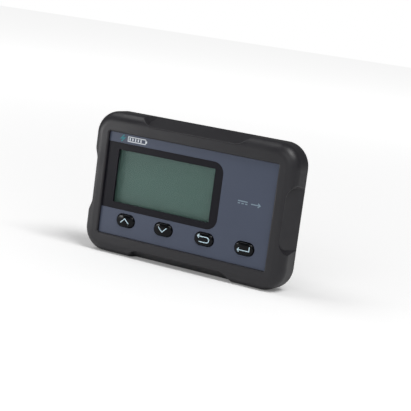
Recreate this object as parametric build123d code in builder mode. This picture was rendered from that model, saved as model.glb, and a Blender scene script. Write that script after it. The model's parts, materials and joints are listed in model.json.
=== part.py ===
from build123d import *

import os
from math import atan2, cos, hypot, sin

os.makedirs("parts", exist_ok=True)

# Remote LCD readout with four menu keys, in millimetres.
# +X is to the right of someone reading the display, +Y goes away from them and +Z is up.
# The origin is the middle of the bounding box's bottom face: it stands on its lower edge.

# Outer body
body_w = 100.0
body_h = 62.5
rim_depth = 13.0
box_depth = 12.0
corner_r = 10.3
shoulder_r = 4.9
rear_edge_r = 2.0

# Scoops in the four sides: each floor slopes from behind the shoulder out to the full size
scoop_lip = 0.8
scoop_end = 11.0
low_scoop_end = 7.5
scoop_flare = 38.0
scoop_corner_r = 4.4
scoop_overrun = 3.0
scoop_end_run = 1.6
scoop_depth = 5.0
top_scoop_inset = 3.9
top_scoop_span = 52.0
side_scoop_inset = 3.2
side_scoop_span = 29.0
scoop_edge_r = 0.6

# Front panel
panel_w = 84.0
panel_h = 45.1
panel_shift = -0.2
panel_corner_r = 0.7
panel_recess = 1.2
panel_edge_r = 0.75
faceplate_t = 1.0
deck_t = 1.4
panel_gap = 0.05

# Display opening and its parts, measured from the middle of the front
aperture = (-36.4, 12.4, -8.1, 15.1)
bezel_right = 16.4
bezel_low = -11.0
bezel_high = 18.1
bezel_corner_r = 5.0
deck_opening = (-38.1, 14.1, -9.5, 16.7)
window_t = 0.8
glass_area = (-38.5, 15.2, -10.5, 17.9)
rear_glass_low = -9.0
rear_glass_high = 16.4
film_t = 0.2
glass_t = 1.1
guide_t = 2.0
holder_area = (-39.9, 16.6, -11.6, 19.0)
zebra_w = 1.2
zebra_inset = 1.5
led_w = 1.4
led_l = 3.2
led_h = 1.6
led_from_edge = 6.0
led_strip_w = 2.2

# Keys, from the left: up, down, back, enter
key_w = 9.1
key_h = 5.4
key_mid_x = 1.25
key_inner_x = 10.25
key_outer_x = 29.75
key_y = -15.4
key_dome_r = 16.0
key_edge_r = 0.7
key_flange_w = 10.8
key_flange_h = 7.1
key_flange_t = 1.15
key_drop = 0.1
deck_key_gap = 0.2
plate_key_gap = 0.3

# Shell walls and the cover
wall = 4.4
cavity_r = 6.0
cover_inset = 2.5
cover_gap = 0.2
cover_t = 1.5
cover_r = 7.8
box_w = 76.0
box_h = 44.0
box_wall = 2.0
box_r = 4.0
box_edge_r = 1.5

# Circuit board
pcb_w = 76.8
pcb_h = 50.4
pcb_t = 1.6
pcb_r = 2.0
pcb_stand = 4.9
switch_side = 6.0
switch_h = 2.9
plunger_r = 1.62
plunger_bore_r = 1.7
plunger_l = 2.8
switch_floor = 0.3
switch_corner_r = 0.6
lead_t = 0.2
lead_h = 0.7
lead_reach = 1.0
lead_width_share = 0.45

# Fasteners and inserts
case_screw_x = 42.5
case_screw_z = 22.5
case_boss_r = 3.4
case_shank_r = 1.25
case_head_r = 2.3
case_head_t = 1.3
case_screw_l = 8.0
case_recess_w = 2.6
case_recess_t = 0.8
head_cone = 38.0
hole_spare = 0.3
recess_slot = 0.5
insert_x = 43.5
insert_z = 10.0
insert_boss_r = 3.3
insert_r = 2.1
insert_bore_r = 1.25
insert_l = 6.0
pcb_screw_x = 35.3
pcb_screw_z = 22.2
pcb_post_r = 2.3
pcb_shank_r = 1.0
pcb_head_r = 1.8
pcb_head_t = 1.1
pcb_screw_l = 5.0
pcb_recess_w = 2.0
pcb_recess_t = 0.6

# Modular jack, facing backwards
jack_w = 16.0
jack_h = 13.6
jack_sink = 0.5
mouth_w = 11.7
mouth_h = 7.2
mouth_depth = 11.4
latch_steps = ((6.2, 1.5), (3.4, 2.8))
contact_count = 8
contact_pitch = 1.02
contact_r = 0.2
contact_bend_r = 0.35
contact_top = 0.5
contact_dip = 2.2
contact_reach = 3.2
contact_from_mouth = 1.6

# Depths of the stack, from the front plane to the back
depth = rim_depth + box_depth
front_y = -depth / 2
flange_y = front_y + rim_depth
back_y = depth / 2
faceplate_y = front_y + panel_recess
deck_y = faceplate_y + faceplate_t
deck_back_y = deck_y + deck_t
lcd_y = deck_back_y + 0.1
front_glass_y = lcd_y + film_t
rear_glass_y = front_glass_y + glass_t
rear_film_y = rear_glass_y + glass_t
guide_y = rear_film_y + film_t + 0.1
pcb_y = deck_back_y + pcb_stand
pcb_back_y = pcb_y + pcb_t
cover_y = flange_y - cover_t
mid_z = body_h / 2
key_flange_y = deck_back_y + 0.05
plunger_y = key_flange_y + key_flange_t
jack_y = back_y - jack_sink

key_names = ("up", "down", "back", "enter")
key_x = [key_mid_x + x for x in (-key_outer_x, -key_inner_x, key_inner_x, key_outer_x)]
key_places = [(x, key_y) for x in key_x]


def plane_at(y):
    """Plane facing the reader at depth y, its local axes along X and Z from mid-height."""
    return Plane(origin=(0, y, mid_z), x_dir=(1, 0, 0), z_dir=(0, -1, 0))


def corners(x, z):
    """The four corners of a rectangle about the middle."""
    return [(-x, -z), (x, -z), (-x, z), (x, z)]


def area_rectangle(area, grow=0.0, mode=Mode.ADD):
    """A rectangle from (low x, high x, low z, high z), grown on every side."""
    x0, x1, z0, z1 = area
    with Locations(((x0 + x1) / 2, (z0 + z1) / 2)):
        Rectangle(x1 - x0 + 2 * grow, z1 - z0 + 2 * grow, mode=mode)


def save(part, name):
    part.label = name
    export_step(part, f"parts/{name}.step")


def scoop_plane(out_x, out_z, inset, end):
    """Floor of a scoop in the side that faces (out_x, out_z): origin on its front edge."""
    lean = atan2(inset, end - scoop_lip)
    reach = (body_w / 2 if out_x else body_h / 2) - inset
    start = (out_x * reach, front_y + scoop_lip, mid_z + out_z * reach)
    normal = Vector(out_x * cos(lean), -sin(lean), out_z * cos(lean))
    uphill = Vector(out_x * sin(lean), cos(lean), out_z * sin(lean))
    return Plane(origin=start, x_dir=uphill.cross(normal), z_dir=normal)


def scoop_cut(out_x, out_z, inset, span, end=scoop_end):
    """Cuts one scoop: a shallow flared pocket that runs out at the full size."""
    floor_l = hypot(inset, end - scoop_lip) + scoop_overrun
    floor_w = span - 2 * scoop_end_run
    with BuildSketch(scoop_plane(out_x, out_z, inset, end)) as floor:
        with Locations((0, floor_l / 2)):
            RectangleRounded(floor_w, floor_l, scoop_corner_r)
    extrude(floor.sketch, amount=scoop_depth, taper=-scoop_flare, mode=Mode.SUBTRACT)


def is_scoop_wall(face):
    """Floors and end walls of the scoops: cones, and flats that are square to no axis."""
    normal = face.normal_at(face.center())
    square = max(abs(normal.X), abs(normal.Y), abs(normal.Z)) > 0.999
    return face.geom_type == GeomType.CONE or (face.geom_type == GeomType.PLANE and not square)


def scoop_rims(part):
    """Edges where the scoops meet the outer surface, up to where they run out at the back."""
    wall_edges = [edge for face in part.faces().filter_by(is_scoop_wall) for edge in face.edges()]
    rims = [edge for edge in wall_edges if sum(edge.is_same(other) for other in wall_edges) == 1]
    return [edge for edge in rims if edge.center().Y < flange_y - rear_edge_r - 0.01]


# --- Front housing -------------------------------------------------------------------------
with BuildPart() as front_housing:
    with BuildSketch(plane_at(flange_y)):
        RectangleRounded(body_w, body_h, corner_r)
    extrude(amount=rim_depth)
    fillet(faces().sort_by(Axis.Y)[0].edges(), shoulder_r)
    fillet(faces().sort_by(Axis.Y)[-1].edges(), rear_edge_r)
    scoop_cut(0, 1, top_scoop_inset, top_scoop_span)
    scoop_cut(0, -1, top_scoop_inset, top_scoop_span, low_scoop_end)
    scoop_cut(1, 0, side_scoop_inset, side_scoop_span)
    scoop_cut(-1, 0, side_scoop_inset, side_scoop_span)
    fillet(scoop_rims(front_housing.part), scoop_edge_r)
    # pocket for the faceplate
    with BuildSketch(plane_at(deck_y)):
        with Locations((0, panel_shift)):
            RectangleRounded(panel_w, panel_h, panel_corner_r)
    extrude(amount=deck_y - front_y, mode=Mode.SUBTRACT)
    fillet(faces().sort_by(Axis.Y)[0].inner_wires()[0].edges(), panel_edge_r)
    # inside, open to the back
    with BuildSketch(plane_at(flange_y)):
        RectangleRounded(body_w - 2 * wall, body_h - 2 * wall, cavity_r)
    extrude(amount=flange_y - deck_back_y, mode=Mode.SUBTRACT)
    # rebate that takes the cover
    with BuildSketch(plane_at(flange_y)):
        RectangleRounded(
            body_w - 2 * (cover_inset - cover_gap),
            body_h - 2 * (cover_inset - cover_gap),
            cover_r + cover_gap,
        )
    extrude(amount=cover_t, mode=Mode.SUBTRACT)
    # display opening and key holes in the deck
    with BuildSketch(plane_at(deck_back_y)):
        area_rectangle(deck_opening)
        with Locations(*key_places):
            SlotOverall(key_w + 2 * deck_key_gap, key_h + 2 * deck_key_gap)
    extrude(amount=deck_t, mode=Mode.SUBTRACT)
    # bosses for the case screws and the inserts, posts for the board
    with BuildSketch(plane_at(cover_y)):
        with Locations(*corners(case_screw_x, case_screw_z)):
            Circle(case_boss_r)
        with Locations(*corners(insert_x, insert_z)):
            Circle(insert_boss_r)
    extrude(amount=cover_y - deck_back_y)
    with BuildSketch(plane_at(pcb_y)):
        with Locations(*corners(pcb_screw_x, pcb_screw_z)):
            Circle(pcb_post_r)
    extrude(amount=pcb_stand)
    # holes in them
    with BuildSketch(plane_at(cover_y)):
        with Locations(*corners(case_screw_x, case_screw_z)):
            Circle(case_shank_r)
    extrude(amount=case_screw_l - cover_t + hole_spare, mode=Mode.SUBTRACT)
    with BuildSketch(plane_at(cover_y)):
        with Locations(*corners(insert_x, insert_z)):
            Circle(insert_r)
    extrude(amount=insert_l - cover_t, mode=Mode.SUBTRACT)
    with BuildSketch(plane_at(pcb_y)):
        with Locations(*corners(pcb_screw_x, pcb_screw_z)):
            Circle(pcb_shank_r)
    extrude(amount=pcb_screw_l - pcb_t + hole_spare, mode=Mode.SUBTRACT)
save(front_housing.part, "front_housing")

# --- Rear cover: flange plate and the raised box -------------------------------------------
with BuildPart() as rear_cover:
    with BuildSketch(plane_at(flange_y)):
        RectangleRounded(body_w - 2 * cover_inset, body_h - 2 * cover_inset, cover_r)
    extrude(amount=cover_t)
    with BuildSketch(plane_at(back_y)):
        RectangleRounded(box_w, box_h, box_r)
    extrude(amount=box_depth)
    fillet(faces().sort_by(Axis.Y)[-1].edges(), box_edge_r)
    with BuildSketch(plane_at(back_y - box_wall)):
        RectangleRounded(box_w - 2 * box_wall, box_h - 2 * box_wall, box_r - box_wall)
    extrude(amount=back_y - box_wall - cover_y, mode=Mode.SUBTRACT)
    with BuildSketch(plane_at(back_y)):
        Rectangle(jack_w + 2 * cover_gap, jack_h + 2 * cover_gap)
    extrude(amount=box_wall, mode=Mode.SUBTRACT)
    with BuildSketch(plane_at(flange_y)):
        with Locations(*corners(insert_x, insert_z)):
            Circle(insert_r + 0.15)
        with Locations(*corners(case_screw_x, case_screw_z)):
            Circle(case_shank_r + 0.15)
    extrude(amount=cover_t, mode=Mode.SUBTRACT)
    with BuildSketch(plane_at(flange_y)):
        with Locations(*corners(case_screw_x, case_screw_z)):
            Circle(case_head_r + 0.05)
    extrude(amount=case_head_t, taper=head_cone, mode=Mode.SUBTRACT)
save(rear_cover.part, "rear_cover")

# --- Faceplate and the dark frame inlaid in it ---------------------------------------------
bezel_area = (-panel_w / 2 + panel_gap, bezel_right, bezel_low, bezel_high)
with BuildPart() as faceplate:
    with BuildSketch(plane_at(deck_y)) as plate_outline:
        with Locations((0, panel_shift)):
            Rectangle(panel_w - 2 * panel_gap, panel_h - 2 * panel_gap)
        fillet(plate_outline.vertices(), panel_corner_r)
        with BuildSketch(plane_at(deck_y), mode=Mode.SUBTRACT) as bezel_notch:
            area_rectangle(bezel_area, grow=0.05)
            fillet(bezel_notch.vertices().group_by(Axis.X)[-1], bezel_corner_r)
        with Locations(*key_places):
            SlotOverall(key_w + 2 * plate_key_gap, key_h + 2 * plate_key_gap, mode=Mode.SUBTRACT)
    extrude(amount=faceplate_t)
save(faceplate.part, "faceplate")

with BuildPart() as lcd_bezel:
    with BuildSketch(plane_at(deck_y)) as bezel_outline:
        area_rectangle(bezel_area)
        fillet(bezel_outline.vertices().group_by(Axis.X)[-1], bezel_corner_r)
        area_rectangle(aperture, mode=Mode.SUBTRACT)
    extrude(amount=faceplate_t)
save(lcd_bezel.part, "lcd_bezel")


def plate(area, y, thickness, grow=0.0):
    """A flat rectangular piece whose front face is at depth y."""
    with BuildPart() as piece:
        with BuildSketch(plane_at(y + thickness)):
            area_rectangle(area, grow=grow)
        extrude(amount=thickness)
    return piece.part


# --- Display stack -------------------------------------------------------------------------
x_low, x_high, z_low, z_high = glass_area
rear_area = (x_low, x_high, rear_glass_low, rear_glass_high)
save(plate(deck_opening, deck_y, window_t, grow=-0.1), "lcd_window")
save(plate(rear_area, lcd_y, film_t, grow=-0.2), "front_polariser")
save(plate(glass_area, front_glass_y, glass_t), "front_glass")
save(plate(rear_area, rear_glass_y, glass_t), "rear_glass")
save(plate(rear_area, rear_film_y, film_t, grow=-0.2), "rear_polariser")
guide_area = (x_low + 0.3, x_high - led_strip_w, rear_glass_low, rear_glass_high)
save(plate(guide_area, guide_y, guide_t), "light_guide")

led_x = x_high - led_strip_w / 2
led_z = (rear_glass_low + led_from_edge, rear_glass_high - led_from_edge)
with BuildPart() as backlight_leds:
    with BuildSketch(plane_at(pcb_y)):
        with Locations(*[(led_x, z) for z in led_z]):
            Rectangle(led_w, led_l)
    extrude(amount=led_h)
save(backlight_leds.part, "backlight_leds")

zebra_low_z = (z_low + rear_glass_low) / 2
zebra_high_z = (z_high + rear_glass_high) / 2
with BuildPart() as zebra_strips:
    with BuildSketch(plane_at(pcb_y)):
        with Locations(((x_low + x_high) / 2, zebra_low_z), ((x_low + x_high) / 2, zebra_high_z)):
            Rectangle(x_high - x_low - 2 * zebra_inset, zebra_w)
    extrude(amount=pcb_y - rear_glass_y)
save(zebra_strips.part, "zebra_strips")

with BuildPart() as lcd_holder:
    with BuildSketch(plane_at(pcb_y - 0.05)):
        area_rectangle(holder_area)
        area_rectangle(glass_area, grow=0.1, mode=Mode.SUBTRACT)
    extrude(amount=pcb_y - deck_back_y - 0.1)
save(lcd_holder.part, "lcd_holder")

# --- Circuit board and what is on it -------------------------------------------------------
with BuildPart() as main_pcb:
    with BuildSketch(plane_at(pcb_back_y)):
        RectangleRounded(pcb_w, pcb_h, pcb_r)
        with Locations(*corners(pcb_screw_x, pcb_screw_z)):
            Circle(pcb_shank_r + 0.1, mode=Mode.SUBTRACT)
    extrude(amount=pcb_t)
save(main_pcb.part, "main_pcb")

with BuildPart() as switch_bodies:
    with BuildSketch(plane_at(pcb_y)):
        with Locations(*key_places):
            Rectangle(switch_side, switch_side)
    extrude(amount=switch_h)
    fillet(edges().filter_by(Axis.Y), switch_corner_r)
    with BuildSketch(plane_at(pcb_y - switch_h)):
        with Locations(*key_places):
            Circle(plunger_bore_r)
    extrude(amount=-(switch_h - switch_floor), mode=Mode.SUBTRACT)
save(switch_bodies.part, "switch_bodies")

# Parts behind the board: name, places, size along X and Z, height, corner radius
board_parts = (
    ("microcontroller", [(-24.0, 2.0)], 7.0, 7.0, 1.4, 0.3),
    ("display_driver", [(-24.0, -11.0)], 7.0, 5.0, 1.4, 0.3),
    ("transceiver", [(16.5, 9.0)], 4.9, 3.9, 1.5, 0.2),
    ("crystal", [(-24.0, 12.5)], 11.2, 4.6, 3.4, 2.2),
    ("regulator", [(26.0, 8.5)], 6.5, 6.1, 2.3, 0.3),
    ("inductor", [(26.0, -1.5)], 7.0, 7.0, 3.6, 1.2),
    ("smoothing_capacitors", [(19.0, -12.5), (28.0, -12.5)], 6.3, 6.3, 5.8, 3.1),
    (
        "chip_capacitors",
        [(-15.5, -5.0), (-15.5, 0.0), (-15.5, 5.0), (-15.5, 10.0), (16.5, 1.5), (16.5, -2.0)],
        1.25, 2.0, 1.0, 0.1,
    ),
    (
        "chip_resistors",
        [(-31.0, -4.0 + 2.4 * i) for i in range(5)] + [(12.0, -13.0), (12.0, 13.0)],
        2.0, 1.25, 0.6, 0.1,
    ),
)
for part_name, places, size_x, size_z, height, edge_r in board_parts:
    with BuildPart() as board_part:
        with BuildSketch(plane_at(pcb_back_y)):
            with Locations(*places):
                RectangleRounded(size_x, size_z, edge_r)
        extrude(amount=-height)
    save(board_part.part, part_name)

# Gull-wing leads of the three chips: side by side along two edges of each
lead_rows = (
    (-24.0, 2.0, 7.0, 12, 0.5),
    (-24.0, -11.0, 5.0, 10, 0.6),
    (16.5, 9.0, 3.9, 4, 1.27),
)
with BuildPart() as chip_leads:
    for chip_x, chip_z, chip_h, per_side, pitch in lead_rows:
        for side in (-1, 1):
            lead_mid = chip_z + side * (chip_h / 2 + lead_reach / 2)
            with BuildSketch(plane_at(pcb_back_y)):
                with Locations((chip_x, lead_mid)):
                    with GridLocations(pitch, 1, per_side, 1):
                        Rectangle(pitch * lead_width_share, lead_reach)
            extrude(amount=-lead_t)
            with BuildSketch(plane_at(pcb_back_y + lead_t)):
                with Locations((chip_x, lead_mid - side * (lead_reach - lead_t) / 2)):
                    with GridLocations(pitch, 1, per_side, 1):
                        Rectangle(pitch * lead_width_share, lead_t)
            extrude(amount=-(lead_h - lead_t))
save(chip_leads.part, "chip_leads")

# --- Modular jack --------------------------------------------------------------------------
jack_l = jack_y - pcb_back_y
with BuildPart() as modular_jack:
    with BuildSketch(plane_at(jack_y)):
        Rectangle(jack_w, jack_h)
    extrude(amount=jack_l)
    with BuildSketch(plane_at(jack_y)):
        Rectangle(mouth_w, mouth_h)
        for step_w, step_h in latch_steps:
            with Locations((0, -(mouth_h + step_h) / 2)):
                Rectangle(step_w, step_h)
    extrude(amount=mouth_depth, mode=Mode.SUBTRACT)
    chamfer(faces().sort_by(Axis.Y)[-1].outer_wire().edges(), 0.3)
save(modular_jack.part, "modular_jack")

mouth_floor_y = jack_y - mouth_depth
contact_x = [(i - (contact_count - 1) / 2) * contact_pitch for i in range(contact_count)]
with BuildPart() as jack_contacts:
    for x in contact_x:
        wire_plane = Plane(origin=(x, 0, mid_z), x_dir=(0, 1, 0), z_dir=(1, 0, 0))
        with BuildLine(wire_plane) as wire:
            FilletPolyline(
                (mouth_floor_y, mouth_h / 2 - contact_top),
                (jack_y - contact_from_mouth, mouth_h / 2 - contact_top),
                (mouth_floor_y + contact_reach, mouth_h / 2 - contact_dip),
                radius=contact_bend_r,
            )
        with BuildSketch(plane_at(mouth_floor_y)):
            with Locations((x, mouth_h / 2 - contact_top)):
                Circle(contact_r)
        sweep(path=wire.line)
save(jack_contacts.part, "jack_contacts")

# --- Keys and the switch plungers that move with them --------------------------------------
for name, x in zip(key_names, key_x):
    with BuildPart() as key:
        with BuildSketch(plane_at(key_flange_y + key_flange_t)):
            with Locations((x, key_y)):
                SlotOverall(key_w, key_h)
        extrude(amount=key_flange_y + key_flange_t - front_y - key_drop)
        dome_y = front_y + key_drop + key_dome_r
        with Locations((x, dome_y, mid_z + key_y)):
            Sphere(key_dome_r, mode=Mode.INTERSECT)
        fillet(faces().sort_by(Axis.Y)[0].edges(), key_edge_r)
        with BuildSketch(plane_at(key_flange_y + key_flange_t)):
            with Locations((x, key_y)):
                SlotOverall(key_flange_w, key_flange_h)
        extrude(amount=key_flange_t)
    save(key.part, f"key_{name}")

    with BuildPart() as plunger:
        with BuildSketch(plane_at(plunger_y + plunger_l)):
            with Locations((x, key_y)):
                Circle(plunger_r)
        extrude(amount=plunger_l)
    save(plunger.part, f"plunger_{name}")

# --- Fasteners -----------------------------------------------------------------------------
with BuildPart() as case_screws:
    with BuildSketch(plane_at(flange_y - 0.05)):
        with Locations(*corners(case_screw_x, case_screw_z)):
            Circle(case_head_r)
    extrude(amount=case_head_t - 0.1, taper=head_cone)
    with BuildSketch(plane_at(flange_y - 0.5)):
        with Locations(*corners(case_screw_x, case_screw_z)):
            Circle(case_shank_r)
    extrude(amount=case_screw_l - 0.5)
    with BuildSketch(plane_at(flange_y - 0.05)):
        with Locations(*corners(case_screw_x, case_screw_z)):
            Rectangle(case_recess_w, recess_slot)
            Rectangle(recess_slot, case_recess_w)
    extrude(amount=case_recess_t, mode=Mode.SUBTRACT)
save(case_screws.part, "case_screws")

with BuildPart() as pcb_screws:
    with BuildSketch(plane_at(pcb_back_y + pcb_head_t)):
        with Locations(*corners(pcb_screw_x, pcb_screw_z)):
            Circle(pcb_head_r)
    extrude(amount=pcb_head_t)
    fillet(faces().group_by(Axis.Y)[-1].edges(), 0.4)
    with BuildSketch(plane_at(pcb_back_y)):
        with Locations(*corners(pcb_screw_x, pcb_screw_z)):
            Circle(pcb_shank_r)
    extrude(amount=pcb_screw_l)
    with BuildSketch(plane_at(pcb_back_y + pcb_head_t)):
        with Locations(*corners(pcb_screw_x, pcb_screw_z)):
            Rectangle(pcb_recess_w, recess_slot)
            Rectangle(recess_slot, pcb_recess_w)
    extrude(amount=pcb_recess_t, mode=Mode.SUBTRACT)
save(pcb_screws.part, "pcb_screws")

with BuildPart() as mount_inserts:
    with BuildSketch(plane_at(flange_y)):
        with Locations(*corners(insert_x, insert_z)):
            Circle(insert_r)
            Circle(insert_bore_r, mode=Mode.SUBTRACT)
    extrude(amount=insert_l)
save(mount_inserts.part, "mount_inserts")
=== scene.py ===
import bpy
import json
from math import cos, pi, radians, sin
from mathutils import Matrix, Vector


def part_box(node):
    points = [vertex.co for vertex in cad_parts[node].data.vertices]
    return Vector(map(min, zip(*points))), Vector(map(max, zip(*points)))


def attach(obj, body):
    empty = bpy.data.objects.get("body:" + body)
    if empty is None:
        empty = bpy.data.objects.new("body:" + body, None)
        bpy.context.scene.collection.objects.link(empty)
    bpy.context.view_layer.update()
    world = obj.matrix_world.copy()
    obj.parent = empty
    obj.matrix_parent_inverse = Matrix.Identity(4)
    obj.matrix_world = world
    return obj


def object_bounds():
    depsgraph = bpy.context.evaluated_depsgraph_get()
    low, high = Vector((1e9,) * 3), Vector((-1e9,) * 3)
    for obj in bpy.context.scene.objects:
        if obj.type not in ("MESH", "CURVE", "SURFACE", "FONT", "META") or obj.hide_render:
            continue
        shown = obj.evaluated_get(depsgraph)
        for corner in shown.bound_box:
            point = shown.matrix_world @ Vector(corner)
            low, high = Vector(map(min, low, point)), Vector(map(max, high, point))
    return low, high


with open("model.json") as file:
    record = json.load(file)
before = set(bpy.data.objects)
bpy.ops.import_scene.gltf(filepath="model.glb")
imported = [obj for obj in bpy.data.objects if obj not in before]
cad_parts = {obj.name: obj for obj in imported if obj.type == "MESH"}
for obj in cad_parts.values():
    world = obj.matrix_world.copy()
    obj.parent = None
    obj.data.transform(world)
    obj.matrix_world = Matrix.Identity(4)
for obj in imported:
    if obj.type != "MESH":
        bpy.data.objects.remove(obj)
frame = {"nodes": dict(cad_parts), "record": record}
cadBounds = [list(corner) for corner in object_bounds()]
nodes = frame["nodes"]
print("frame loaded,", len(nodes), "nodes")

mm = 0.001


def deselectAll():
    if bpy.context.object and bpy.context.object.mode != "OBJECT":
        bpy.ops.object.mode_set(mode="OBJECT")
    bpy.ops.object.select_all(action="DESELECT")


def pickOnly(piece):
    deselectAll()
    piece.select_set(True)
    bpy.context.view_layer.objects.active = piece


deselectAll()

# camera: a long lens, right of the display and a little above it
view = {
    "aim": (0.0038, 0.0, 0.0282),
    "distance": 0.578,
    "azimuth": 28.7,    # degrees to the reader's right
    "elevation": 8.8,
    "roll": 7.7,
    "lens": 117.0,
    "sensor": 36.0,
    "nearClip": 0.01,
}


def addCamera():
    turn, lift = radians(view["azimuth"]), radians(view["elevation"])
    away = Vector((sin(turn) * cos(lift), -cos(turn) * cos(lift), sin(lift)))
    camData = bpy.data.cameras.new("camera")
    camData.lens = view["lens"]
    camData.sensor_width = view["sensor"]
    camData.clip_start = view["nearClip"]
    cam = bpy.data.objects.new("camera", camData)
    bpy.context.scene.collection.objects.link(cam)
    level = away.to_track_quat("Z", "Y").to_matrix()
    turned = (level @ Matrix.Rotation(radians(view["roll"]), 3, "Z")).to_4x4()
    stand = Vector(view["aim"]) + away * view["distance"]
    cam.matrix_world = Matrix.Translation(stand) @ turned
    bpy.context.scene.camera = cam


addCamera()
print("camera set")

# pale floor, softboxes overhead and behind, a small one low on the left, a wide one far in front
stage = {
    "floorSize": 6.0,
    "floorColour": (0.90, 0.90, 0.90, 1),
    "floorRoughness": 0.9,
    "floorSpecular": 0.0,
    "nearGlow": 0.10,       # glow of the floor round the object, which keeps its shadow
    "farGlow": 0.85,        # glow further out, where the softboxes don't reach
    "glowReach": 1.1,
    "floorCast": 0.02,      # glow that lights the object
    "skySeen": 1.0,
    "skyLight": 0.16,       # glow of the sky that lights the object
    "softboxes": {
        "overheadBox": {"place": (0.62, -0.25, 1.10), "size": (0.6, 0.5), "watts": 10.2},
        "backBox": {"place": (-0.60, -0.12, 1.00), "size": (0.7, 0.5), "watts": 2.8},
        "leftBox": {"place": (-0.29, -0.22, 0.045), "size": (0.14, 0.08), "watts": 0.34},
        "frontBox": {"place": (0.30, -1.25, 0.60), "size": (1.0, 0.5), "watts": 4.0},
    },
}


def seenOrCast(tree, seen, cast):
    # one strength where the stage is seen, another where it lights the object
    rays = tree.nodes.new("ShaderNodeLightPath")
    level = tree.nodes.new("ShaderNodeMapRange")
    level.inputs["To Min"].default_value = cast
    if isinstance(seen, float):
        level.inputs["To Max"].default_value = seen
    else:
        tree.links.new(seen, level.inputs["To Max"])
    tree.links.new(rays.outputs["Is Camera Ray"], level.inputs["Value"])
    return level.outputs["Result"]


def addFloor():
    bpy.ops.mesh.primitive_plane_add(size=stage["floorSize"], location=(0, 0, 0))
    floor = bpy.context.object
    floor.name = "floor"
    paint = bpy.data.materials.new("paleFloor")
    paint.use_nodes = True
    tree = paint.node_tree
    shader = tree.nodes["Principled BSDF"]
    shader.inputs["Base Color"].default_value = stage["floorColour"]
    shader.inputs["Roughness"].default_value = stage["floorRoughness"]
    shader.inputs["Specular IOR Level"].default_value = stage["floorSpecular"]
    shader.inputs["Emission Color"].default_value = stage["floorColour"]
    coords = tree.nodes.new("ShaderNodeTexCoord")
    reach = tree.nodes.new("ShaderNodeVectorMath")
    reach.operation = "LENGTH"
    spread = tree.nodes.new("ShaderNodeMapRange")
    spread.inputs["From Max"].default_value = stage["glowReach"]
    spread.inputs["To Min"].default_value = stage["nearGlow"]
    spread.inputs["To Max"].default_value = stage["farGlow"]
    tree.links.new(coords.outputs["Object"], reach.inputs[0])
    tree.links.new(reach.outputs["Value"], spread.inputs["Value"])
    glow = seenOrCast(tree, spread.outputs["Result"], stage["floorCast"])
    tree.links.new(glow, shader.inputs["Emission Strength"])
    floor.data.materials.append(paint)
    deselectAll()


def addSoftbox(name, box):
    lampData = bpy.data.lights.new(name, "AREA")
    lampData.shape = "RECTANGLE"
    lampData.size, lampData.size_y = box["size"]
    lampData.energy = box["watts"]
    lamp = bpy.data.objects.new(name, lampData)
    bpy.context.scene.collection.objects.link(lamp)
    lamp.location = box["place"]
    toAim = Vector(view["aim"]) - Vector(box["place"])
    lamp.rotation_euler = toAim.to_track_quat("-Z", "Y").to_euler()


def addSky():
    sky = bpy.data.worlds.new("studio")
    sky.use_nodes = True
    background = sky.node_tree.nodes["Background"]
    background.inputs["Color"].default_value = (1, 1, 1, 1)
    glow = seenOrCast(sky.node_tree, stage["skySeen"], stage["skyLight"])
    sky.node_tree.links.new(glow, background.inputs["Strength"])
    bpy.context.scene.world = sky


addFloor()
addSky()
for name, box in stage["softboxes"].items():
    addSoftbox(name, box)
bpy.context.scene.view_settings.view_transform = "Standard"
print("floor and lights set")

# every finish: colour with slow patches, a fine grain in the bump, and a roughness that wanders
plainFinish = {
    "spread": 0.08,         # how far the colour wanders, as a share
    "patch": 9 * mm,        # size of the slow patches
    "grain": 0.25 * mm,     # size of the fine grain
    "depth": 0.004 * mm,    # height of the grain
    "bump": 0.5,
    "roughness": (0.45, 0.6),
    "specular": 0.5,
    "metallic": 0.0,
    "stretch": (1, 1, 1),   # brushed or drawn metal is stretched along one axis
    "alpha": 1.0,
    "transmission": 0.0,
    "pattern": None,
    "patchDetail": 3.0,
    "grainDetail": 4.0,
    "polishFrom": (0.3, 0.7),   # patch values between which the roughness runs
}

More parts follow.
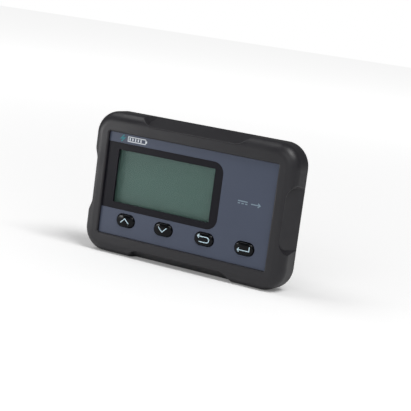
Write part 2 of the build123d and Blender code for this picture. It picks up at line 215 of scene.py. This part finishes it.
finishes = {
    "housing_plastic": {
        "colour": (0.0100, 0.0095, 0.0124), "spread": 0.10, "patch": 14 * mm, "grain": 0.22 * mm,
        "depth": 0.012 * mm, "bump": 0.6, "roughness": (0.38, 0.54), "specular": 0.45,
    },
    "slate_panel": {
        "colour": (0.053, 0.066, 0.103), "spread": 0.05, "patch": 20 * mm, "grain": 0.12 * mm,
        "depth": 0.003 * mm, "bump": 0.4, "roughness": (0.38, 0.48), "specular": 0.35,
    },
    "bezel_plastic": {
        "colour": (0.0052, 0.0050, 0.0085), "spread": 0.08, "grain": 0.15 * mm,
        "depth": 0.004 * mm, "roughness": (0.34, 0.44), "specular": 0.16,
    },
    "clear_window": {
        "colour": (0.20, 0.25, 0.23), "spread": 0.03, "depth": 0.0005 * mm, "bump": 0.1,
        "roughness": (0.18, 0.24), "specular": 0.5, "alpha": 0.04,
    },
    "display_film": {
        "colour": (0.057, 0.116, 0.099), "spread": 0.04, "patch": 12 * mm, "grain": 0.06 * mm,
        "depth": 0.0008 * mm, "bump": 0.2, "roughness": (0.42, 0.50), "specular": 0.3,
        "pattern": "cells",
    },
    "display_glass": {
        "colour": (0.88, 0.94, 0.91), "spread": 0.02, "depth": 0.0005 * mm,
        "roughness": (0.03, 0.07), "transmission": 0.9,
    },
    "reflector_film": {
        "colour": (0.36, 0.45, 0.38), "spread": 0.06, "grain": 0.08 * mm,
        "roughness": (0.28, 0.40), "metallic": 0.4,
    },
    "clear_acrylic": {
        "colour": (0.86, 0.90, 0.88), "spread": 0.02, "depth": 0.001 * mm,
        "roughness": (0.06, 0.14), "transmission": 0.85,
    },
    "led_resin": {
        "colour": (0.80, 0.70, 0.30), "spread": 0.10, "patch": 1 * mm, "roughness": (0.25, 0.40),
    },
    "zebra_rubber": {
        "colour": (0.42, 0.26, 0.28), "spread": 0.06, "roughness": (0.55, 0.70), "pattern": "layers",
    },
    "white_plastic": {
        "colour": (0.72, 0.72, 0.70), "spread": 0.04, "grain": 0.2 * mm, "roughness": (0.40, 0.55),
    },
    "board_laminate": {
        "colour": (0.012, 0.105, 0.045), "spread": 0.08, "patch": 6 * mm, "grain": 0.3 * mm,
        "roughness": (0.22, 0.36), "pattern": "tracks",
    },
    "black_plastic": {
        "colour": (0.012, 0.012, 0.013), "spread": 0.10, "grain": 0.18 * mm,
        "depth": 0.006 * mm, "roughness": (0.38, 0.55), "specular": 0.45,
    },
    "key_gloss": {
        "colour": (0.0010, 0.0014, 0.0022), "spread": 0.10, "patch": 2 * mm, "grain": 0.4 * mm,
        "depth": 0.0008 * mm, "bump": 0.2, "roughness": (0.09, 0.13), "specular": 0.17,
    },
    "plunger_plastic": {
        "colour": (0.020, 0.020, 0.021), "spread": 0.10, "roughness": (0.35, 0.50),
    },
    "chip_epoxy": {
        "colour": (0.016, 0.016, 0.017), "spread": 0.15, "patch": 1.5 * mm, "grain": 0.08 * mm,
        "depth": 0.006 * mm, "roughness": (0.55, 0.75),
    },
    "can_steel": {
        "colour": (0.55, 0.55, 0.55), "spread": 0.06, "patch": 2 * mm, "grain": 0.3 * mm,
        "roughness": (0.22, 0.36), "metallic": 1.0, "stretch": (0.15, 1, 1),
    },
    "ferrite": {
        "colour": (0.045, 0.045, 0.050), "spread": 0.18, "patch": 1 * mm, "grain": 0.12 * mm,
        "depth": 0.010 * mm, "roughness": (0.60, 0.80),
    },
    "can_aluminium": {
        "colour": (0.72, 0.72, 0.73), "spread": 0.05, "patch": 2 * mm, "grain": 0.2 * mm,
        "roughness": (0.24, 0.36), "metallic": 1.0, "stretch": (1, 0.2, 1),
    },
    "capacitor_ceramic": {
        "colour": (0.44, 0.29, 0.16), "spread": 0.12, "patch": 0.8 * mm, "roughness": (0.45, 0.60),
    },
    "resistor_ceramic": {
        "colour": (0.022, 0.022, 0.026), "spread": 0.12, "patch": 0.8 * mm, "roughness": (0.30, 0.45),
    },
    "tinned_lead": {
        "colour": (0.66, 0.66, 0.65), "spread": 0.08, "patch": 0.6 * mm, "grain": 0.15 * mm,
        "roughness": (0.26, 0.42), "metallic": 1.0,
    },
    "contact_brass": {
        "colour": (0.80, 0.58, 0.22), "spread": 0.06, "patch": 1 * mm, "grain": 0.2 * mm,
        "roughness": (0.16, 0.28), "metallic": 1.0, "stretch": (1, 0.2, 1),
    },
    "screw_steel": {
        "colour": (0.20, 0.20, 0.21), "spread": 0.12, "patch": 1 * mm, "grain": 0.15 * mm,
        "depth": 0.005 * mm, "roughness": (0.30, 0.48), "metallic": 0.9,
    },
    "insert_brass": {
        "colour": (0.66, 0.47, 0.20), "spread": 0.08, "patch": 1 * mm, "grain": 0.2 * mm,
        "roughness": (0.22, 0.38), "metallic": 1.0, "stretch": (1, 0.15, 1),
    },
    "legendInk": {
        "colour": (0.50, 0.66, 0.74), "spread": 0.06, "patch": 0.7 * mm, "grain": 0.08 * mm,
        "depth": 0.003 * mm, "roughness": (0.40, 0.55), "specular": 0.3,
    },
    "tealInk": {
        "colour": (0.022, 0.200, 0.235), "spread": 0.08, "patch": 0.8 * mm, "grain": 0.08 * mm,
        "depth": 0.003 * mm, "roughness": (0.38, 0.50), "specular": 0.3,
    },
    "whiteInk": {
        "colour": (0.66, 0.70, 0.74), "spread": 0.05, "patch": 0.7 * mm, "grain": 0.08 * mm,
        "depth": 0.003 * mm, "roughness": (0.40, 0.52), "specular": 0.3,
    },
    "greyInk": {
        "colour": (0.20, 0.27, 0.33), "spread": 0.08, "patch": 0.7 * mm, "grain": 0.08 * mm,
        "depth": 0.003 * mm, "roughness": (0.42, 0.55), "specular": 0.3,
    },
}


def shade(colour, share):
    return (*[min(1.0, channel * share) for channel in colour], 1)


def addNoise(tree, place, size, detail):
    noise = tree.nodes.new("ShaderNodeTexNoise")
    noise.inputs["Scale"].default_value = 1 / size
    noise.inputs["Detail"].default_value = detail
    tree.links.new(place, noise.inputs["Vector"])
    return noise.outputs["Fac"]


def addMix(tree, factor, low, high):
    mix = tree.nodes.new("ShaderNodeMix")
    mix.data_type = "RGBA"
    tree.links.new(factor, mix.inputs["Factor"])
    for socket, colour in (("A", low), ("B", high)):
        target = next(s for s in mix.inputs if s.name == socket and s.type == "RGBA")
        if isinstance(colour, tuple):
            target.default_value = colour
        else:
            tree.links.new(colour, target)
    return next(s for s in mix.outputs if s.type == "RGBA")


cellGrid = {
    "corner": (36.2 * mm, 0.0, -1.6 * mm),
    "scale": 100.0,
    "width": 0.302,         # width, height and gap in hundredths of a metre
    "height": 0.56,
    "gap": 0.03,
    "gapSoftness": 0.6,
    "lift": 1.05,           # how much lighter than the film the gaps are
}


def addCells(tree, place, colour):
    # faint character cells of the switched-off display, four rows of sixteen
    turn = tree.nodes.new("ShaderNodeMapping")
    turn.inputs["Rotation"].default_value = (pi / 2, 0, 0)
    turn.inputs["Location"].default_value = cellGrid["corner"]
    cells = tree.nodes.new("ShaderNodeTexBrick")
    cells.offset = 0.0
    cells.inputs["Scale"].default_value = cellGrid["scale"]
    cells.inputs["Brick Width"].default_value = cellGrid["width"]
    cells.inputs["Row Height"].default_value = cellGrid["height"]
    cells.inputs["Mortar Size"].default_value = cellGrid["gap"]
    cells.inputs["Mortar Smooth"].default_value = cellGrid["gapSoftness"]
    tree.links.new(place, turn.inputs["Vector"])
    tree.links.new(turn.outputs["Vector"], cells.inputs["Vector"])
    gap = shade(finishes["display_film"]["colour"], cellGrid["lift"])
    return addMix(tree, cells.outputs["Fac"], colour, gap)


layerStack = {"scale": 900.0, "carbon": (0.02, 0.02, 0.02, 1)}


def addLayers(tree, place, colour):
    # carbon and silicone sheets, stacked along X
    layers = tree.nodes.new("ShaderNodeTexWave")
    layers.inputs["Scale"].default_value = layerStack["scale"]
    tree.links.new(place, layers.inputs["Vector"])
    return addMix(tree, layers.outputs["Fac"], colour, layerStack["carbon"])


trackLines = {"scale": 420.0, "edge": (0.42, 0.46), "colour": (0.03, 0.20, 0.08, 1)}


def addTracks(tree, place, colour):
    # copper under the solder mask, seen as paler lines
    tracks = tree.nodes.new("ShaderNodeTexVoronoi")
    tracks.distance = "MANHATTAN"
    tracks.feature = "F1"
    tracks.inputs["Scale"].default_value = trackLines["scale"]
    edge = tree.nodes.new("ShaderNodeMapRange")
    edge.inputs["From Min"].default_value = trackLines["edge"][0]
    edge.inputs["From Max"].default_value = trackLines["edge"][1]
    tree.links.new(place, tracks.inputs["Vector"])
    tree.links.new(tracks.outputs["Distance"], edge.inputs["Value"])
    return addMix(tree, edge.outputs["Result"], colour, trackLines["colour"])


patterns = {"cells": addCells, "layers": addLayers, "tracks": addTracks}


def makeFinish(name):
    look = {**plainFinish, **finishes[name]}
    finish = bpy.data.materials.new(name)
    finish.use_nodes = True
    tree = finish.node_tree
    shader = tree.nodes["Principled BSDF"]
    coords = tree.nodes.new("ShaderNodeTexCoord")
    turn = tree.nodes.new("ShaderNodeMapping")
    turn.inputs["Scale"].default_value = look["stretch"]
    tree.links.new(coords.outputs["Object"], turn.inputs["Vector"])
    place = turn.outputs["Vector"]

    patches = addNoise(tree, place, look["patch"], look["patchDetail"])
    low = shade(look["colour"], 1 - look["spread"])
    high = shade(look["colour"], 1 + look["spread"])
    colour = addMix(tree, patches, low, high)
    if look["pattern"]:
        colour = patterns[look["pattern"]](tree, place, colour)
    tree.links.new(colour, shader.inputs["Base Color"])

    grain = addNoise(tree, place, look["grain"], look["grainDetail"])
    bump = tree.nodes.new("ShaderNodeBump")
    bump.inputs["Strength"].default_value = look["bump"]
    bump.inputs["Distance"].default_value = look["depth"]
    tree.links.new(grain, bump.inputs["Height"])
    tree.links.new(bump.outputs["Normal"], shader.inputs["Normal"])

    polish = tree.nodes.new("ShaderNodeMapRange")
    for end, start, rough in zip(("Min", "Max"), look["polishFrom"], look["roughness"]):
        polish.inputs["From " + end].default_value = start
        polish.inputs["To " + end].default_value = rough
    tree.links.new(patches, polish.inputs["Value"])
    tree.links.new(polish.outputs["Result"], shader.inputs["Roughness"])

    shader.inputs["Metallic"].default_value = look["metallic"]
    shader.inputs["Specular IOR Level"].default_value = look["specular"]
    shader.inputs["Alpha"].default_value = look["alpha"]
    shader.inputs["Transmission Weight"].default_value = look["transmission"]
    return finish


madeFinishes = {name: makeFinish(name) for name in finishes}
for part in frame["record"]["subparts"]:
    slots = nodes[part["node"]].data.materials
    slots.clear()
    slots.append(madeFinishes[part["material_slot"]])
print("finishes made and given to", len(nodes), "nodes")

# printed marks: strokes, modelled in millimetres on a flat sheet
ink = {
    "blank": 1.0,           # depth of a stroke before only its front is kept
    "weldShare": 0.01,      # share of a stroke's width within which its points are merged
    "facing": 0.9,          # how squarely a face has to look at the reader to be kept
    "cuts": 2,
    "standOff": 2 * mm,     # how far in front of a node a mark waits before it is laid on
    "lift": 0.004 * mm,
    "thickness": 0.03 * mm,
}


def applyAll(piece):
    pickOnly(piece)
    for modifier in list(piece.modifiers):
        bpy.ops.object.modifier_apply(modifier=modifier.name)


def addStroke(points, width):
    # a line of edges is drawn out into a wall, and the wall is thickened to the stroke's width
    path = [Vector((x, 0, z)) for x, z in points]
    deselectAll()
    bpy.ops.mesh.primitive_plane_add(size=width, location=path[0])
    stroke = bpy.context.object
    bpy.ops.object.mode_set(mode="EDIT")
    bpy.ops.mesh.select_mode(type="VERT")
    bpy.ops.mesh.select_all(action="SELECT")
    bpy.ops.mesh.merge(type="CENTER")
    for here, there in zip(path, path[1:]):
        bpy.ops.mesh.extrude_region_move(TRANSFORM_OT_translate={"value": there - here})
    bpy.ops.mesh.select_all(action="SELECT")
    bpy.ops.mesh.remove_doubles(threshold=width * ink["weldShare"])
    bpy.ops.mesh.extrude_region_move(TRANSFORM_OT_translate={"value": (0, ink["blank"], 0)})
    bpy.ops.object.mode_set(mode="OBJECT")
    thicken = stroke.modifiers.new("width", "SOLIDIFY")
    thicken.thickness = width
    thicken.offset = 0
    thicken.use_even_offset = True
    applyAll(stroke)
    return stroke


def weld(shapes):
    # one clean outline from shapes that overlap
    whole = shapes[0]
    for other in shapes[1:]:
        union = whole.modifiers.new("union", "BOOLEAN")
        union.operation = "UNION"
        union.solver = "EXACT"
        union.object = other
        applyAll(whole)
        bpy.data.objects.remove(other)
    return whole


def keepFront(piece):
    # only the faces that look at the reader stay
    pickOnly(piece)
    bpy.ops.object.transform_apply(location=True, rotation=True, scale=True)
    bpy.ops.object.mode_set(mode="EDIT")
    bpy.ops.mesh.select_mode(type="FACE")
    bpy.ops.mesh.select_all(action="SELECT")
    bpy.ops.mesh.normals_make_consistent(inside=False)
    bpy.ops.mesh.select_all(action="DESELECT")
    bpy.ops.object.mode_set(mode="OBJECT")
    for face in piece.data.polygons:
        face.select = face.normal.y > -ink["facing"]
    bpy.ops.object.mode_set(mode="EDIT")
    bpy.ops.mesh.delete(type="FACE")
    bpy.ops.mesh.select_all(action="SELECT")
    bpy.ops.mesh.quads_convert_to_tris()
    bpy.ops.mesh.subdivide(number_cuts=ink["cuts"])
    bpy.ops.object.mode_set(mode="OBJECT")


def printOn(name, shapes, node, centre, body, finish):
    # laid on a node's surface at centre (x, z), following its curve, with a real ink thickness
    mark = weld(shapes)
    mark.name = name
    keepFront(mark)
    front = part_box(node)[0].y - ink["standOff"]
    bpy.ops.transform.resize(value=(mm, mm, mm), center_override=(0, 0, 0))
    bpy.ops.transform.translate(value=(centre[0], front, centre[1]))
    bpy.ops.object.transform_apply(location=True, rotation=True, scale=True)
    lay = mark.modifiers.new("lay", "SHRINKWRAP")
    lay.target = nodes[node]
    lay.wrap_method = "PROJECT"
    lay.use_project_x, lay.use_project_y, lay.use_project_z = False, True, False
    lay.use_positive_direction, lay.use_negative_direction = True, False
    lay.wrap_mode = "ABOVE_SURFACE"
    lay.offset = ink["lift"]
    coat = mark.modifiers.new("ink", "SOLIDIFY")
    coat.thickness = ink["thickness"]
    coat.offset = 1
    applyAll(mark)
    mark.data.materials.clear()
    mark.data.materials.append(madeFinishes[finish])
    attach(mark, body)


def arc(centre, radius, start, end, steps):
    # points along an arc, angles in degrees
    turn = [radians(start + (end - start) * i / steps) for i in range(steps + 1)]
    return [(centre[0] + radius * cos(t), centre[1] + radius * sin(t)) for t in turn]


# key legends, in millimetres from the middle of their key
legend = {
    "stroke": 0.36,
    "chevron": (2.1, 1.0),      # half its width and half its height
    "head": 0.8,
    "turnBack": {"start": -2.7, "bend": 1.6, "radius": 1.15, "end": -2.0, "tip": -2.95, "steps": 12},
    "enter": {"right": 2.7, "top": 1.3, "line": -0.7, "left": -2.6, "tip": -2.85},
}


def chevron(up):
    half, rise = legend["chevron"]
    return [addStroke([(-half, -rise * up), (0, rise * up), (half, -rise * up)], legend["stroke"])]


def arrowHead(x, z):
    # open head that points left
    reach = legend["head"]
    return addStroke([(x + reach, z + reach), (x, z), (x + reach, z - reach)], legend["stroke"])


def turnBack():
    shape = legend["turnBack"]
    radius = shape["radius"]
    bend = arc((shape["bend"], 0), radius, 90, -90, shape["steps"])
    path = [(shape["start"], radius)] + bend + [(shape["end"], -radius)]
    return [addStroke(path, legend["stroke"]), arrowHead(shape["tip"], radius)]


def enterArrow():
    shape = legend["enter"]
    right, line = shape["right"], shape["line"]
    path = [(right, shape["top"]), (right, line), (shape["left"], line)]
    return [addStroke(path, legend["stroke"]), arrowHead(shape["tip"], line)]


legendShapes = {
    "up": lambda: chevron(1),
    "down": lambda: chevron(-1),
    "back": turnBack,
    "enter": enterArrow,
}
for keyName, drawShapes in legendShapes.items():
    low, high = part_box("key_" + keyName)
    middle = ((low.x + high.x) / 2, (low.z + high.z) / 2)
    printOn("legend_" + keyName, drawShapes(), "key_" + keyName, middle,
            keyName + "_button", "legendInk")
print("key legends printed")

# panel marks, in millimetres from the middle of the front
bolt = {
    "centre": (-35.2, 20.3),
    "path": [(0.6, 1.5), (-0.9, -0.2), (0.9, 0.2), (-0.6, -1.5)],
    "line": 0.5,
}
gauge = {
    "centre": (-27.9, 20.3),
    "size": (9.0, 2.0),
    "line": 0.36,
    "places": 6,            # room for six bars, of which the last is empty
    "bar": 0.62,
    "margin": 0.3,
    "barInset": 0.42,
    "tip": (0.1, 0.75),
}
# a long line over three dashes for direct current, and an arrow
supply = {
    "centre": (30.4, 3.6),
    "line": 0.42,
    "gap": 0.95,
    "bar": (-5.4, -0.8),
    "dashStarts": (-5.4, -3.65, -1.9),
    "dash": 1.1,
    "shaft": (0.9, 5.0),
    "head": (4.1, 5.2, 0.85),   # back, tip and half height
}


def drawGauge():
    halfW, halfH = gauge["size"][0] / 2, gauge["size"][1] / 2
    line, inset = gauge["line"], gauge["barInset"]
    case = addStroke([(halfW, -halfH), (-halfW, -halfH), (-halfW, halfH), (halfW, halfH)], line)
    endWall = addStroke([(halfW, -halfH), (halfW, halfH)], line)
    near, far = gauge["tip"]
    tip = addStroke([(halfW + near, 0), (halfW + far, 0)], halfH)
    pitch = (gauge["size"][0] - 2 * gauge["margin"]) / gauge["places"]
    bars = []
    for i in range(gauge["places"] - 1):
        x = -halfW + gauge["margin"] + pitch * (i + 0.5)
        bars.append(addStroke([(x, inset - halfH), (x, halfH - inset)], gauge["bar"]))
    return [case, endWall, tip] + bars


def drawSupply():
    line, drop = supply["line"], supply["gap"] / 2
    shapes = [addStroke([(x, drop) for x in supply["bar"]], line)]
    for x in supply["dashStarts"]:
        shapes.append(addStroke([(x, -drop), (x + supply["dash"], -drop)], line))
    shapes.append(addStroke([(x, 0) for x in supply["shaft"]], line))
    back, tip, rise = supply["head"]
    shapes.append(addStroke([(back, rise), (tip, 0), (back, -rise)], line))
    return shapes


def panelPlace(mark):
    low, high = cadBounds
    return (mark["centre"][0] * mm, (low[2] + high[2]) / 2 + mark["centre"][1] * mm)


printOn("charge_bolt", [addStroke(bolt["path"], bolt["line"])], "faceplate", panelPlace(bolt),
        "housing", "tealInk")
printOn("battery_gauge", drawGauge(), "faceplate", panelPlace(gauge),
        "housing", "whiteInk")
printOn("supply_sign", drawSupply(), "faceplate", panelPlace(supply),
        "housing", "greyInk")
print("panel marks printed")
